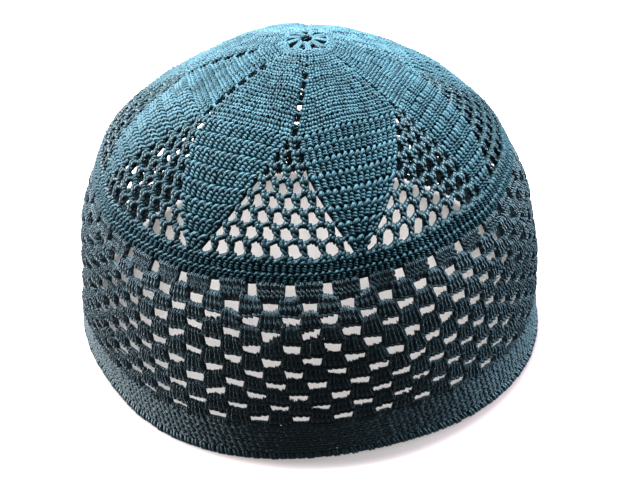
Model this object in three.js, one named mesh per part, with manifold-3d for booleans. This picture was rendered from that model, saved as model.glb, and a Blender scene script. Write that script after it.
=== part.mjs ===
// A crocheted summer cap: a round dome worked downwards from a small rosette, eight dense petals
// with openwork gores between them, a plain band, a deep side of block lace, a dense lower band
// and a twisted edging. It stands free on its edging, hollow and open below.
// Millimetres, +Z up, origin at the middle of the rim on the surface that the cap stands on.

import * as THREE from "three";
import { mergeVertices } from "three/addons/utils/BufferGeometryUtils.js";
import Module from "manifold-3d";

const wasm = await Module();
wasm.setup();

// Driving dimensions
const RIM_RADIUS = 90;       // outside the rim, for a head of about 56 cm round
const HEIGHT = 116;          // from the surface to the top of the crown
const WALL = 2.2;            // thickness of the crocheted fabric
const GAP = 0.3;             // clear space between neighbouring pieces
const GORES = 8;             // petals, gores and seams around the crown
const PAST = 1.2;            // how far a piercing tool reaches past each face of the wall
const MERGE = 1e-4;          // vertices closer than this are one

// Facets: around a full ring, around for each hole of the rosette and the lace, and down each ring
const AROUND = 48;
const AROUND_PER_HOLE = { rosette: 3, lace: 2 };
const DOWN = { rosette: 1, petals: 7, band: 1, lowerBand: 1 };

// The outside of the dome, as shares of HEIGHT and RIM_RADIUS, from the crown down to the rim
const PROFILE = [
  { up: 1.0, out: 0.0 },
  { up: 0.96, out: 0.24 },
  { up: 0.84, out: 0.545 },
  { up: 0.6975, out: 0.764 },
  { up: 0.51, out: 0.92 },
  { up: 0.36, out: 0.965 },
  { up: 0.19, out: 0.987 },
  { up: 0.0, out: 1.0 },
];

// Where each round of work starts and ends, in mm along the surface from the middle of the crown
const EYE = 2.2;
const ROSETTE_END = 11.2;
const GORE_START = 47.2;
const CROWN_END = 87.4;
const BAND_END = 94.0;
const LACE_END = 148.1;
const LOWER_BAND_END = 161.0;

// The gores: each widens from its top to its foot, and leans a little the way the rounds spiral
const GORE_LEAN = -7.5;      // degrees that each gore sits to the left of its eighth of the circle
const GORE_HALF_TOP = 3.6;   // half its width in degrees at the top
const GORE_HALF_FOOT = 21.3; // and at the foot
const GORE_FACETS = { across: 3, rows: 3 };

// The holes of the gores, one row each: how many side by side, and where the row starts and ends
const GORE_HOLES = [
  { across: 1, from: 50.0, to: 58.6, rib: 0.19 },
  { across: 2, from: 61.2, to: 71.6, rib: 0.14 },
  { across: 3, from: 74.2, to: 84.6, rib: 0.11 },
];

// The lace side: rows of holes between solid blocks, each row shifted by half a step
const LACE_ROWS = 3;
const LACE_AROUND = 20;
const LACE_HOLE = { topWidth: 16, footWidth: 13, height: 10.5 };

// The rosette: narrow holes between the posts round the eye
const ROSETTE_HOLES = 11;
const ROSETTE_HOLE = { from: 3.8, to: 8.4, share: 0.5 };

// The edging: a cord of twisted stitches, flat where it stands on the surface
const EDGING = { height: 3.3, thick: 3.0, chamfer: 0.7 };

// A smooth line through the profile's rows, over the square root of the drop, which makes the crown
// round instead of pointed
const knots = PROFILE.map((row) => ({ s: Math.sqrt(1 - row.up), out: row.out }));

function slopeAt(i) {
  const before = i > 0 ? knots[i - 1] : { s: -knots[1].s, out: -knots[1].out };
  const after = knots[Math.min(i + 1, knots.length - 1)];
  return (after.out - before.out) / (after.s - before.s);
}

function outShare(s) {
  let i = 0;
  while (i < knots.length - 2 && s > knots[i + 1].s) i += 1;
  const span = knots[i + 1].s - knots[i].s;
  const t = (s - knots[i].s) / span;
  const rise = t * t * (3 - 2 * t);
  const leave = t * (1 - t) * (1 - t) * span;
  const arrive = t * t * (1 - t) * span;
  const even = knots[i].out * (1 - rise) + knots[i + 1].out * rise;
  return even + leave * slopeAt(i) - arrive * slopeAt(i + 1);
}

// The profile measured along itself: radius and height for each length from the crown
const TRACE_STEPS = 400;
const trace = [];
for (let i = 0; i <= TRACE_STEPS; i += 1) {
  const s = i / TRACE_STEPS;
  const r = RIM_RADIUS * outShare(s);
  const z = HEIGHT * (1 - s * s);
  const last = trace[i - 1];
  const arc = last ? last.arc + Math.hypot(r - last.r, z - last.z) : 0;
  trace.push({ arc, r, z });
}

// The outside at a length from the crown, moved out along the surface normal by offset
function profileAt(arc, offset = 0) {
  let i = 0;
  while (i < trace.length - 2 && arc > trace[i + 1].arc) i += 1;
  const a = trace[i];
  const b = trace[i + 1];
  const t = (arc - a.arc) / (b.arc - a.arc);
  const along = new THREE.Vector2(b.r - a.r, b.z - a.z).normalize();
  return new THREE.Vector2(
    THREE.MathUtils.lerp(a.r, b.r, t) - along.y * offset,
    THREE.MathUtils.lerp(a.z, b.z, t) + along.x * offset,
  );
}

// A point of the cap: degrees round from the front towards +X, length from the crown, and offset
function surfacePoint(degrees, arc, offset) {
  const p = profileAt(arc, offset);
  const turn = THREE.MathUtils.degToRad(degrees);
  return new THREE.Vector3(p.x * Math.sin(turn), -p.x * Math.cos(turn), p.y);
}

// A three.js geometry as a manifold-3d solid, and back again
function toSolid(geometry) {
  geometry.deleteAttribute("normal");
  geometry.deleteAttribute("uv");
  const merged = mergeVertices(geometry, MERGE);
  const mesh = new wasm.Mesh({
    numProp: 3,
    vertProperties: new Float32Array(merged.attributes.position.array),
    triVerts: new Uint32Array(merged.index.array),
  });
  return new wasm.Manifold(mesh);
}

function toGeometry(solid) {
  const mesh = solid.getMesh();
  const geometry = new THREE.BufferGeometry();
  geometry.setAttribute("position", new THREE.BufferAttribute(mesh.vertProperties, 3));
  geometry.setIndex(new THREE.BufferAttribute(mesh.triVerts, 1));
  geometry.computeVertexNormals();
  return geometry;
}

// A ring of fabric between two lengths from the crown, turned from its closed section
function fabricRing(from, to, down, around = AROUND) {
  const outer = [];
  const inner = [];
  for (let i = 0; i <= down; i += 1) {
    const arc = THREE.MathUtils.lerp(to, from, i / down);
    outer.push(profileAt(arc));
    inner.unshift(profileAt(arc, -WALL));
  }
  return turned([...outer, ...inner], around);
}

function turned(section, around) {
  const closed = [...section, section[0].clone()];
  return toSolid(new THREE.LatheGeometry(closed, around).rotateX(Math.PI / 2));
}

// A patch of the surface made solid between two offsets. edges(arc) gives its left and right side
// in degrees, and the patch is laid out in steps across and rows down.
function patchSolid({ from, to, edges, low, high, across, rows }) {
  const positions = [];
  const index = [];
  const perLayer = (across + 1) * (rows + 1);
  for (const offset of [low, high]) {
    for (let j = 0; j <= rows; j += 1) {
      const arc = THREE.MathUtils.lerp(from, to, j / rows);
      const [left, right] = edges(arc);
      for (let i = 0; i <= across; i += 1) {
        const degrees = THREE.MathUtils.lerp(left, right, i / across);
        positions.push(...surfacePoint(degrees, arc, offset).toArray());
      }
    }
  }
  const at = (layer, j, i) => layer * perLayer + j * (across + 1) + i;
  const quad = (a, b, c, d) => index.push(a, b, c, a, c, d);
  for (let j = 0; j < rows; j += 1) {
    for (let i = 0; i < across; i += 1) {
      quad(at(1, j, i), at(1, j + 1, i), at(1, j + 1, i + 1), at(1, j, i + 1));
      quad(at(0, j, i), at(0, j, i + 1), at(0, j + 1, i + 1), at(0, j + 1, i));
    }
    quad(at(0, j, 0), at(0, j + 1, 0), at(1, j + 1, 0), at(1, j, 0));
    quad(at(0, j + 1, across), at(0, j, across), at(1, j, across), at(1, j + 1, across));
  }
  for (let i = 0; i < across; i += 1) {
    quad(at(0, 0, i + 1), at(0, 0, i), at(1, 0, i), at(1, 0, i + 1));
    quad(at(0, rows, i), at(0, rows, i + 1), at(1, rows, i + 1), at(1, rows, i));
  }
  const geometry = new THREE.BufferGeometry();
  geometry.setAttribute("position", new THREE.Float32BufferAttribute(positions, 3));
  geometry.setIndex(index);
  return toSolid(geometry);
}

// A tool that pierces the fabric: the same patch, reaching past both faces of the wall
function hole(from, to, edges) {
  return patchSolid({ from, to, edges, low: -WALL - PAST, high: PAST, across: 1, rows: 1 });
}

// Degrees that a width in mm takes up at a length from the crown
function degreesFor(width, arc) {
  return THREE.MathUtils.radToDeg(width / profileAt(arc).x);
}

// The sides of a gore, drawn in by inset mm
function goreSides(gore, inset) {
  const middle = (gore * 360) / GORES + GORE_LEAN;
  return (arc) => {
    const down = (arc - GORE_START) / (CROWN_END - GORE_START);
    const half = THREE.MathUtils.lerp(GORE_HALF_TOP, GORE_HALF_FOOT, down);
    const drawn = half - degreesFor(inset, arc);
    return [middle - drawn, middle + drawn];
  };
}

function crownRosette() {
  const pitch = 360 / ROSETTE_HOLES;
  const half = (pitch * ROSETTE_HOLE.share) / 2;
  let solid = fabricRing(EYE, ROSETTE_END, DOWN.rosette, AROUND_PER_HOLE.rosette * ROSETTE_HOLES);
  for (let i = 0; i < ROSETTE_HOLES; i += 1) {
    const middle = i * pitch;
    const cut = hole(ROSETTE_HOLE.from, ROSETTE_HOLE.to, () => [middle - half, middle + half]);
    solid = solid.subtract(cut);
  }
  return toGeometry(solid);
}

function crownPetals() {
  let solid = fabricRing(ROSETTE_END + GAP, CROWN_END, DOWN.petals);
  for (let gore = 0; gore < GORES; gore += 1) {
    solid = solid.subtract(patchSolid({
      from: GORE_START,
      to: CROWN_END + PAST,
      edges: goreSides(gore, 0),
      low: -WALL - PAST,
      high: PAST,
      ...GORE_FACETS,
    }));
  }
  return toGeometry(solid);
}

function meshGore(gore) {
  let solid = patchSolid({
    from: GORE_START + GAP,
    to: CROWN_END,
    edges: goreSides(gore, GAP),
    low: -WALL,
    high: 0,
    ...GORE_FACETS,
  });
  const sides = goreSides(gore, GAP);
  for (const row of GORE_HOLES) {
    for (let i = 0; i < row.across; i += 1) {
      const edges = (arc) => {
        const [left, right] = sides(arc);
        return [
          THREE.MathUtils.lerp(left, right, (i + row.rib) / row.across),
          THREE.MathUtils.lerp(left, right, (i + 1 - row.rib) / row.across),
        ];
      };
      solid = solid.subtract(hole(row.from, row.to, edges));
    }
  }
  return toGeometry(solid);
}

function crownBand() {
  return toGeometry(fabricRing(CROWN_END + GAP, BAND_END, DOWN.band));
}

function laceSide() {
  const from = BAND_END + GAP;
  const rowHeight = (LACE_END - from) / LACE_ROWS;
  const pitch = 360 / LACE_AROUND;
  let solid = fabricRing(from, LACE_END, LACE_ROWS, AROUND_PER_HOLE.lace * LACE_AROUND);
  for (let row = 0; row < LACE_ROWS; row += 1) {
    const middleArc = from + (row + 0.5) * rowHeight;
    const top = middleArc - LACE_HOLE.height / 2;
    const foot = middleArc + LACE_HOLE.height / 2;
    for (let i = 0; i < LACE_AROUND; i += 1) {
      const middle = (i + (row % 2) / 2) * pitch;
      const edges = (arc) => {
        const down = (arc - top) / LACE_HOLE.height;
        const width = THREE.MathUtils.lerp(LACE_HOLE.topWidth, LACE_HOLE.footWidth, down);
        const half = degreesFor(width, arc) / 2;
        return [middle - half, middle + half];
      };
      solid = solid.subtract(hole(top, foot, edges));
    }
  }
  return toGeometry(solid);
}

function lowerBand() {
  return toGeometry(fabricRing(LACE_END + GAP, LOWER_BAND_END, DOWN.lowerBand));
}

function twistedEdging() {
  const { height, thick, chamfer } = EDGING;
  const outside = RIM_RADIUS;
  const inside = RIM_RADIUS - thick;
  return toGeometry(turned([
    new THREE.Vector2(outside - chamfer, 0),
    new THREE.Vector2(outside, chamfer),
    new THREE.Vector2(outside, height - chamfer),
    new THREE.Vector2(outside - chamfer, height),
    new THREE.Vector2(inside + chamfer, height),
    new THREE.Vector2(inside, height - chamfer),
    new THREE.Vector2(inside, chamfer),
    new THREE.Vector2(inside + chamfer, 0),
  ], AROUND));
}

// The cap, one mesh for each worked section
const cap = new THREE.Group();

function addPiece(name, geometry, color) {
  const material = new THREE.MeshStandardMaterial({ color, roughness: 0.62, metalness: 0 });
  const mesh = new THREE.Mesh(geometry, material);
  mesh.name = name;
  cap.add(mesh);
}

const TEAL = 0x2f6f7b;
const TEAL_LIGHT = 0x3f8692;
const TEAL_DEEP = 0x235a66;

addPiece("crown_rosette", crownRosette(), TEAL_LIGHT);
addPiece("crown_petals", crownPetals(), TEAL);
for (let gore = 0; gore < GORES; gore += 1) {
  addPiece(`mesh_gore_${gore + 1}`, meshGore(gore), TEAL_LIGHT);
}
addPiece("crown_band", crownBand(), TEAL);
addPiece("lace_side", laceSide(), TEAL_DEEP);
addPiece("lower_band", lowerBand(), TEAL);
addPiece("twisted_edging", twistedEdging(), TEAL_DEEP);

export default cap;
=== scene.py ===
# %% [markdown]
# # A crocheted summer cap
#
# The cap is worked in the round from a small rosette at the crown down to a corded rim, in one dark
# teal mercerised cotton yarn. Its look is the look of its stitches: tall posts that wrap over the
# round before, rows of eyelets, openwork gores, and a side of solid blocks and holes.
# We make each kind of stitch once, as a few short strands of yarn, and lay it round the dome in
# rows, so that every hole in the lace is a real hole.

# %% Load the solid model as the frame
import math

import bmesh
import bpy
import numpy as np
from mathutils import Matrix, Vector


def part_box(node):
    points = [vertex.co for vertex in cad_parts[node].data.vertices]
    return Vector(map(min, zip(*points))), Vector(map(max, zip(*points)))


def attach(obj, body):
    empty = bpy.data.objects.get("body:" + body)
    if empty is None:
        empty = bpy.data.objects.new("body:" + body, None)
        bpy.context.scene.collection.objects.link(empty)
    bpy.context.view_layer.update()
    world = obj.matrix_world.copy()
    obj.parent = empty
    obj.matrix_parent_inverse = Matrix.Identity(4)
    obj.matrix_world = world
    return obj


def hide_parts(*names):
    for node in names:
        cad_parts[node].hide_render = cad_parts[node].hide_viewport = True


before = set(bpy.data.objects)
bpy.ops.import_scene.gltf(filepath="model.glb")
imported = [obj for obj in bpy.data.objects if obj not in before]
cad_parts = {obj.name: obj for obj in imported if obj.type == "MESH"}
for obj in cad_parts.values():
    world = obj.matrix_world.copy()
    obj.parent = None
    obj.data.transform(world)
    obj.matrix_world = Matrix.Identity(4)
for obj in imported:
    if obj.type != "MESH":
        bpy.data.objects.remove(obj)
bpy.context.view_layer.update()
scene = bpy.context.scene

MM = 0.001
RIM_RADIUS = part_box("twisted_edging")[1].x / MM
HEIGHT = 116.0  # mm from the rim to the crown of the outline, before it is faceted
GORES = 8  # openwork gores, petals and seams round the crown


def placed(name, data):
    """A new object, linked into the scene."""
    piece = bpy.data.objects.new(name, data)
    scene.collection.objects.link(piece)
    return piece


print("rim radius", round(RIM_RADIUS, 2), "mm, nodes", len(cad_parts))

# %% [markdown]
# ## The camera
#
# The camera could be set by eye, but then no ring of the pattern falls where it should. So it was
# fitted to the outline, the rim and two rings of the pattern. It stands 45 cm from the cap, looks
# down at 35 degrees, aims a little to the right of the middle, and is rolled by two degrees.

# %% The camera
AIM = Vector((4.4, 0, 30)) * MM
DISTANCE = 452 * MM
LOOK_DOWN = math.radians(34.9)
ROLL = math.radians(-1.93)
FOCAL_SHARE = 1154 / 640  # focal length over the width of the picture
SENSOR_WIDTH = 36  # mm
NEAR_CLIP = 10 * MM

camera = placed("camera", bpy.data.cameras.new("camera"))
camera.data.sensor_width = SENSOR_WIDTH
camera.data.lens = FOCAL_SHARE * SENSOR_WIDTH
camera.data.clip_start = NEAR_CLIP
ahead = Vector((0, math.cos(LOOK_DOWN), -math.sin(LOOK_DOWN)))
right = Vector((1, 0, 0))
above = right.cross(ahead)
rolled_right = right * math.cos(ROLL) + above * math.sin(ROLL)
rolled_above = above * math.cos(ROLL) - right * math.sin(ROLL)
turned = Matrix((rolled_right, rolled_above, -ahead)).transposed()
camera.matrix_world = Matrix.Translation(AIM - ahead * DISTANCE) @ turned.to_4x4()
scene.camera = camera
print("lens", round(camera.data.lens, 1), "mm")

# %% [markdown]
# ## The dome as a map
#
# A crocheter counts rounds and stitches, not x, y and z. So every point of the cap has three
# numbers: degrees round from the front, millimetres down the surface from the middle of the crown,
# and millimetres outwards. One function turns these into a place. The profile is the solid model's
# table, whose radii come from the same fit as the camera.

# %% The profile of the dome
# Columns: share of the height, share of the rim's radius
PROFILE = np.array([
    (1.0, 0.0), (0.96, 0.24), (0.84, 0.545), (0.6975, 0.764),
    (0.51, 0.92), (0.36, 0.965), (0.19, 0.987), (0.0, 1.0),
])


def out_share(s):
    """Radius share over the square root of the drop, smooth through the table's rows."""
    knot = np.sqrt(1 - PROFILE[:, 0])
    out = PROFILE[:, 1]
    wide_knot = np.concatenate(([-knot[1]], knot, [knot[-1]]))
    wide_out = np.concatenate(([-out[1]], out, [out[-1]]))
    slope = (wide_out[2:] - wide_out[:-2]) / (wide_knot[2:] - wide_knot[:-2])
    i = np.clip(np.searchsorted(knot, s, side="right") - 1, 0, len(knot) - 2)
    span = knot[i + 1] - knot[i]
    t = (s - knot[i]) / span
    rise = t * t * (3 - 2 * t)
    leave = t * (1 - t) ** 2 * span
    arrive = t * t * (1 - t) * span
    return out[i] * (1 - rise) + out[i + 1] * rise + leave * slope[i] - arrive * slope[i + 1]


TRACE_POINTS = 1201
drop = np.linspace(0, 1, TRACE_POINTS)
trace_r = RIM_RADIUS * out_share(drop)
trace_z = HEIGHT * (1 - drop**2)
trace_arc = np.concatenate(([0], np.cumsum(np.hypot(np.diff(trace_r), np.diff(trace_z)))))
RIM_ARC = trace_arc[-1]
grad_r = np.gradient(trace_r, trace_arc)
grad_z = np.gradient(trace_z, trace_arc)


def radius_at(arc):
    """The dome's radius at a length from the crown, both in mm."""
    return np.interp(arc, trace_arc, trace_r)


print("crown to rim along the surface", round(RIM_ARC, 1), "mm")

# %% [markdown]
# ## The seams
#
# The crown has eight parts between eight seams. These lean to the left as they go down, each in its
# own way, because each round is worked a little aside of the one before. The front and side ones
# were measured, and the three behind share one lean. New stitches are made at the seams only, so
# the crown is eight-cornered rather than round.

# %% The seams
LEAN_AT = (12, 44, 60, 87)  # mm from the crown
# Degrees that each seam leans at those lengths, from the front one round to the right
SEAM_LEAN = np.array([
    (0.7, -4.7, -7.2, -8.0),
    (3.0, 4.5, -0.5, -9.8),
    (2.0, -1.5, -1.7, -7.0),
    *[(0.0, -4.0, -6.0, -8.0)] * 3,
    (-1.3, -8.5, -8.5, -8.5),
    (-4.5, -8.4, -9.0, -8.0),
])
CORNERED = 0.055  # share of its length from the crown that a round is drawn in midway


def seam(k, arc):
    """Degrees round of seam k at a length from the crown."""
    return k * 360 / GORES + np.interp(arc, LEAN_AT, SEAM_LEAN[k % GORES])


def between_seams(degrees, arc):
    """0 on a seam and 1 midway between two."""
    result = 0
    for k in range(GORES):
        left, right = seam(k, arc), seam(k + 1, arc)
        share = ((degrees - left) % 360) / (right - left)
        result = result + np.where(share < 1, 1 - (2 * share - 1) ** 2, 0)
    return result


# %% [markdown]
# ## A hand at work
#
# Handwork is never quite even, and a soft cap never stands quite round. Noise on every point would
# fray the yarn, so we move the surface. Slow waves from a seeded generator shift the rounds by a few
# tenths of a millimetre. The larger pulls follow the photograph: the crown sits to the right, the
# rounds hang lower on the left, the lace is pulled to the right, the rim waves in and out, and the
# wall behind stands further out. The eye's place, the bulges and the shift behind were set one by one.

# %% Slow waves in the work
hand = np.random.default_rng(11)
WAVES = 9  # waves of each kind
MOST_ROUND, MOST_DOWN = 14, 0.16  # fewer than this many round the cap, and radians for each mm down
wave_round = hand.integers(1, MOST_ROUND, (3, WAVES))
wave_down = hand.uniform(-MOST_DOWN, MOST_DOWN, (3, WAVES))
wave_start = hand.uniform(0, 2 * math.pi, (3, WAVES))
WAVE_SIZE = (0.30, 0.26, 0.42)  # mm round, down and outwards
WAVE_SINK = 0.6  # share of the outward size by which the fabric sinks
STEADY_RIM, STEADY_CROWN = 30, 20  # mm over which the waves fade at the rim and at the crown

# %% Pulls and bulges, and the place of a point
# A range is two lengths from the crown in mm, between which a pull comes in or fades out
CENTRE_SHIFT, CENTRE_REACH = 2.2, 34.0  # mm that the crown lies to the right, and how far
CENTRE_BACK, EYE_REACH = 3.0, 8.3  # mm that its eye lies further back, and how far
LACE_PULL, RIGHT_PULL = 1.5, 4.6  # mm that the lace is pulled round, and at the right besides
LACE_PULLED = (97, 145)
BEHIND_SHIFT, BEHIND_SHIFTED = -3.6, (90, 110)  # mm that the lace behind is pulled round besides
HANGS = ((1.2, (80, 92)), (1.0, (105, 122)))  # mm that all the rounds hang lower
LEFT_LOWER, LEFT_LOWERED = 2.0, (35, 60)  # mm that they hang lower at the left, higher at the right
RIM_HELD = (138, 164)  # where the rim lets no round hang lower
CORNERS_LEFT = (48, 76)  # where the eight corners fade out
# Waves fitted to the photographed rim: how many go round it, degrees of a crest, and mm outwards
RIM_WAVES = ((4, -26, 1.23), (5, -30, 0.56), (2, 64, 0.42), (3, -39, 0.19))
RIM_WAVED = (120, 165)
# Bulges of the soft wall: degrees round, mm from the crown, degrees and mm wide, and mm outwards
BULGES = (
    (-105, 80, 25, 17, 2.2),
    (105, 72, 25, 15, 1.0),
    (-78, 157, 16, 17, 2.3),
    (-155, 38, 30, 12, 1.3),
)
BACK_DEEPER, BACK_DEEPENED = 12.0, (65, 150)  # mm that the wall behind stands out
BEHIND = (0.08, 0.92)  # shares of the way back between which behind begins


def smooth(x, start, end):
    """0 before start, 1 after end, and a soft step between."""
    t = np.clip((x - start) / (end - start), 0, 1)
    return t * t * (3 - 2 * t)


def waves(which, turn, arc):
    """The slow waves of one kind, in mm: 0 round, 1 down, 2 outwards."""
    total = 0
    for count, down, start in zip(wave_round[which], wave_down[which], wave_start[which]):
        total = total + np.sin(count * turn + down * arc + start)
    near_rim = np.clip((RIM_ARC - arc) / STEADY_RIM, 0, 1)
    near_crown = np.clip(arc / STEADY_CROWN, 0, 1)
    return total * WAVE_SIZE[which] / math.sqrt(WAVES) * near_rim * near_crown


def bulged(out, degrees, turn, arc, behind):
    """mm outwards, with the rim's waves, the bulges and the back of the soft wall added."""
    for count, crest, size in RIM_WAVES:
        out = out + size * smooth(arc, *RIM_WAVED) * np.cos(count * (turn - math.radians(crest)))
    for centre, middle, wide, long, size in BULGES:
        aside = (degrees - centre + 180) % 360 - 180
        out = out + size * np.exp(-((aside / wide) ** 2) - ((arc - middle) / long) ** 2)
    return out + BACK_DEEPER * behind * smooth(arc, *BACK_DEEPENED)


def dome(degrees, arc, out):
    """Degrees round, mm from the crown and mm outwards, as metres in the row frame."""
    turn = np.radians(degrees)
    r = np.maximum(radius_at(arc), 1)
    to_right = np.sin(turn)
    behind = smooth(-np.cos(turn), *BEHIND)
    pulled_round = smooth(arc, *LACE_PULLED) * (LACE_PULL + RIGHT_PULL * to_right)
    pulled_round = pulled_round + BEHIND_SHIFT * behind * smooth(arc, *BEHIND_SHIFTED)
    hangs = sum(size * smooth(arc, *where) for size, where in HANGS)
    hangs = hangs - LEFT_LOWER * to_right * smooth(arc, *LEFT_LOWERED)
    pulled_down = hangs * (1 - smooth(arc, *RIM_HELD))
    drawn_in = CORNERED * arc * (1 - smooth(arc, *CORNERS_LEFT)) * between_seams(degrees, arc)
    turn = turn + (waves(0, turn, arc) + pulled_round) / r
    arc = arc + waves(1, turn, arc) + pulled_down - drawn_in
    out = out + waves(2, turn, arc) - WAVE_SINK * WAVE_SIZE[2]
    out = bulged(out, degrees, turn, arc, behind)
    nr = -np.interp(arc, trace_arc, grad_z)
    nz = np.interp(arc, trace_arc, grad_r)
    length = np.hypot(nr, nz)
    r = radius_at(arc) + out * nr / length
    z = np.interp(arc, trace_arc, trace_z) + out * nz / length
    x = r * np.sin(turn) + CENTRE_SHIFT * np.exp(-((arc / CENTRE_REACH) ** 2))
    y = CENTRE_BACK * np.exp(-((arc / EYE_REACH) ** 2)) - r * np.cos(turn)
    return np.stack([x, y, z], -1) * MM


# %% [markdown]
# ## A strand of yarn
#
# Every stitch is a few strands of round yarn. A strand could be a curve with a bevel, but thousands
# of copies need few faces. So we extrude the edge of a small circle from point to point and fill
# both ends. Each vertex knows how far along and round the yarn it is, which becomes the UV map.

# %% Strands and stitches in bmesh
def section(points, k, flat):
    """The place and direction of a strand's section at point k."""
    ahead = (points[min(k + 1, len(points) - 1)] - points[max(k - 1, 0)]).normalized()
    side = Vector((0, 0, 1)) if flat else Vector((1, 0, 0))
    side = (side - ahead * side.dot(ahead)).normalized()
    turned = Matrix((side, ahead.cross(side), ahead)).transposed()
    return Matrix.Translation(points[k]) @ turned.to_4x4()


def strand(bm, points, thick, sides=5, wide=1.0):
    """One closed strand of yarn through a list of points: its thickness in mm, its sides, and how
    many times wider than thick it is."""
    points = [Vector(p) for p in points]
    chord = points[-1] - points[0]
    flat = abs(chord.x) > abs(chord.y)
    ring = bmesh.ops.create_circle(bm, segments=sides, radius=thick / 2)["verts"]
    turn, along = bm.verts.layers.float["turn"], bm.verts.layers.float["along"]
    for v in ring:
        v[turn] = math.atan2(v.co.y, v.co.x) / (2 * math.pi) % 1
    bmesh.ops.scale(bm, vec=(wide, 1, 1), verts=ring)
    place = section(points, 0, flat)
    bmesh.ops.transform(bm, matrix=place, verts=ring)
    edges = list({e for v in ring for e in v.link_edges})
    ends = list(edges)
    length = 0.0
    for k in range(1, len(points)):
        length += (points[k] - points[k - 1]).length
        made = bmesh.ops.extrude_edge_only(bm, edges=edges)["geom"]
        ring = [g for g in made if isinstance(g, bmesh.types.BMVert)]
        fresh = set(ring)
        edges = [g for g in made if isinstance(g, bmesh.types.BMEdge) and set(g.verts) <= fresh]
        step = section(points, k, flat)
        bmesh.ops.transform(bm, matrix=step @ place.inverted(), verts=ring)
        for v in ring:
            v[along] = length
        place = step
    bmesh.ops.holes_fill(bm, edges=ends + edges, sides=sides)


def stitch(name, width, height, strands, deep=0.0):
    """A stitch as arrays: places in shares of its width and height, faces, and UVs.

    Its last argument lowers its tone: a painted shade on a stitch that closes the fabric behind.
    """
    bm = bmesh.new()
    bm.verts.layers.float.new("turn")
    bm.verts.layers.float.new("along")
    for thick, points, *rest in strands:
        strand(bm, points, thick, *rest)
    bmesh.ops.recalc_face_normals(bm, faces=bm.faces)
    bm.verts.index_update()
    turn, along = bm.verts.layers.float["turn"], bm.verts.layers.float["along"]
    loops, totals, uv = [], [], []
    for face in bm.faces:
        turns = [v[turn] for v in face.verts]
        split = max(turns) - min(turns) > 0.5
        for v, t in zip(face.verts, turns):
            loops.append(v.index)
            uv.append((v[along], t + 1 if split and t < 0.5 else t))
        totals.append(len(face.verts))
    co = np.array([v.co for v in bm.verts])
    co[:, 0] /= width
    co[:, 1] /= height
    print(name, "has", sum(n - 2 for n in totals), "triangles")
    bm.free()
    arrays = {"co": co, "loops": np.array(loops), "totals": np.array(totals), "uv": np.array(uv)}
    return {**arrays, "deep": deep}


# %% [markdown]
# ## The stitches
#
# The cap is worked downwards, so each stitch hangs from the round above and wraps over it. A whole
# stitch is one looped yarn, but one sees only short runs of it. So each stitch here is those runs:
# strands that rise out of the fabric, cross it and sink in again. In the crown two legs wrap over
# and turns of yarn cross the post below. In the petals one thick bead wraps over with a thin strand
# beside it, and three bars fall to the right below. Behind each lies a flat strand, which closes the
# fabric and is darkened by a painted shade. Points are in mm: across, down, and outwards from the
# outside.

# %% The tall stitch
POST_WIDTH, POST_HEIGHT = 2.2, 4.8
TALL_HEIGHT = 5.7
FLAT_SIDES, FLAT_WIDE = 6, 2.9  # sides of a flat strand, and times wider than thick


def legs(long=1.0):
    """The two legs of a tall stitch that wrap over the round above and part below it."""
    return [
        (0.88, [
            (-0.35, -0.5, -1.6), (-0.6, -0.06, -0.56),
            (-0.7, 0.5 * long, -0.38), (-0.55, 1.2 * long, -1.1),
        ]),
        (0.88, [(0.26, -0.42, -1.5), (0.44, 0.26 * long, -0.38), (0.98, 1.2 * long, -1.1)]),
    ]


def turn_of_yarn(x, y, falls=1.0, thick=0.8):
    """A short turn of the yarn across a post, which falls to the right, or to the left for -1."""
    start = (x - 0.46 * falls, y - 0.58, -1.28)
    end = (x + 0.48 * falls, y + 0.66, -1.28)
    return (thick, [start, (x, y, -0.46), end])


def bar_of_post(x, y, half, thick):
    """A bar of yarn that crosses the post and falls to the right."""
    start = (x - half, y - 0.36, -1.3)
    end = (x + half, y + 0.44, -1.3)
    return (thick, [start, (x - 0.08, y - 0.06, -0.44), end])


def flat_strand(top, foot, out, wide=FLAT_WIDE):
    """The flat strand down the back of a stitch that closes the fabric."""
    return (1.0, [(0, top, out), (0, foot, out)], FLAT_SIDES, wide)


post = stitch("post", POST_WIDTH, POST_HEIGHT, [
    (1.22, [
        (0.18, -0.55, -1.6), (-0.06, -0.1, -0.7), (-0.4, 0.36, -0.4),
        (-0.72, 0.82, -0.62), (-0.92, 1.15, -1.35),
    ], 5, 1.1),
    (0.62, [(0.66, -0.35, -1.5), (0.5, 0.34, -0.64), (0.16, 0.95, -1.25)]),
    bar_of_post(0.36, 1.66, 0.78, 0.92),
    bar_of_post(0.28, 2.68, 0.76, 0.92),
    bar_of_post(0.2, 3.5, 0.86, 0.8),
])
low_post = stitch("low post", POST_WIDTH, POST_HEIGHT, [
    *legs(),
    turn_of_yarn(-0.28, 2.00, 1.0, 1.0),
    turn_of_yarn(0.74, 2.15, 0.9, 0.95),
    turn_of_yarn(-0.44, 3.4, 1.0, 1.0),
    turn_of_yarn(0.54, 3.5, -0.9, 0.95),
])
tall_post = stitch("tall post", POST_WIDTH, TALL_HEIGHT, [
    *legs(1.2),
    turn_of_yarn(-0.2, 2.3),
    turn_of_yarn(0.72, 2.6, 1, 0.72),
    turn_of_yarn(-0.4, 3.7),
    turn_of_yarn(0.52, 3.9, -0.9, 0.72),
])
# The inner strand's tone is lowered: painted shade.
inner = stitch("inner", POST_WIDTH, POST_HEIGHT, [flat_strand(-0.5, 5.2, -1.73)], deep=1.2)

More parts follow.
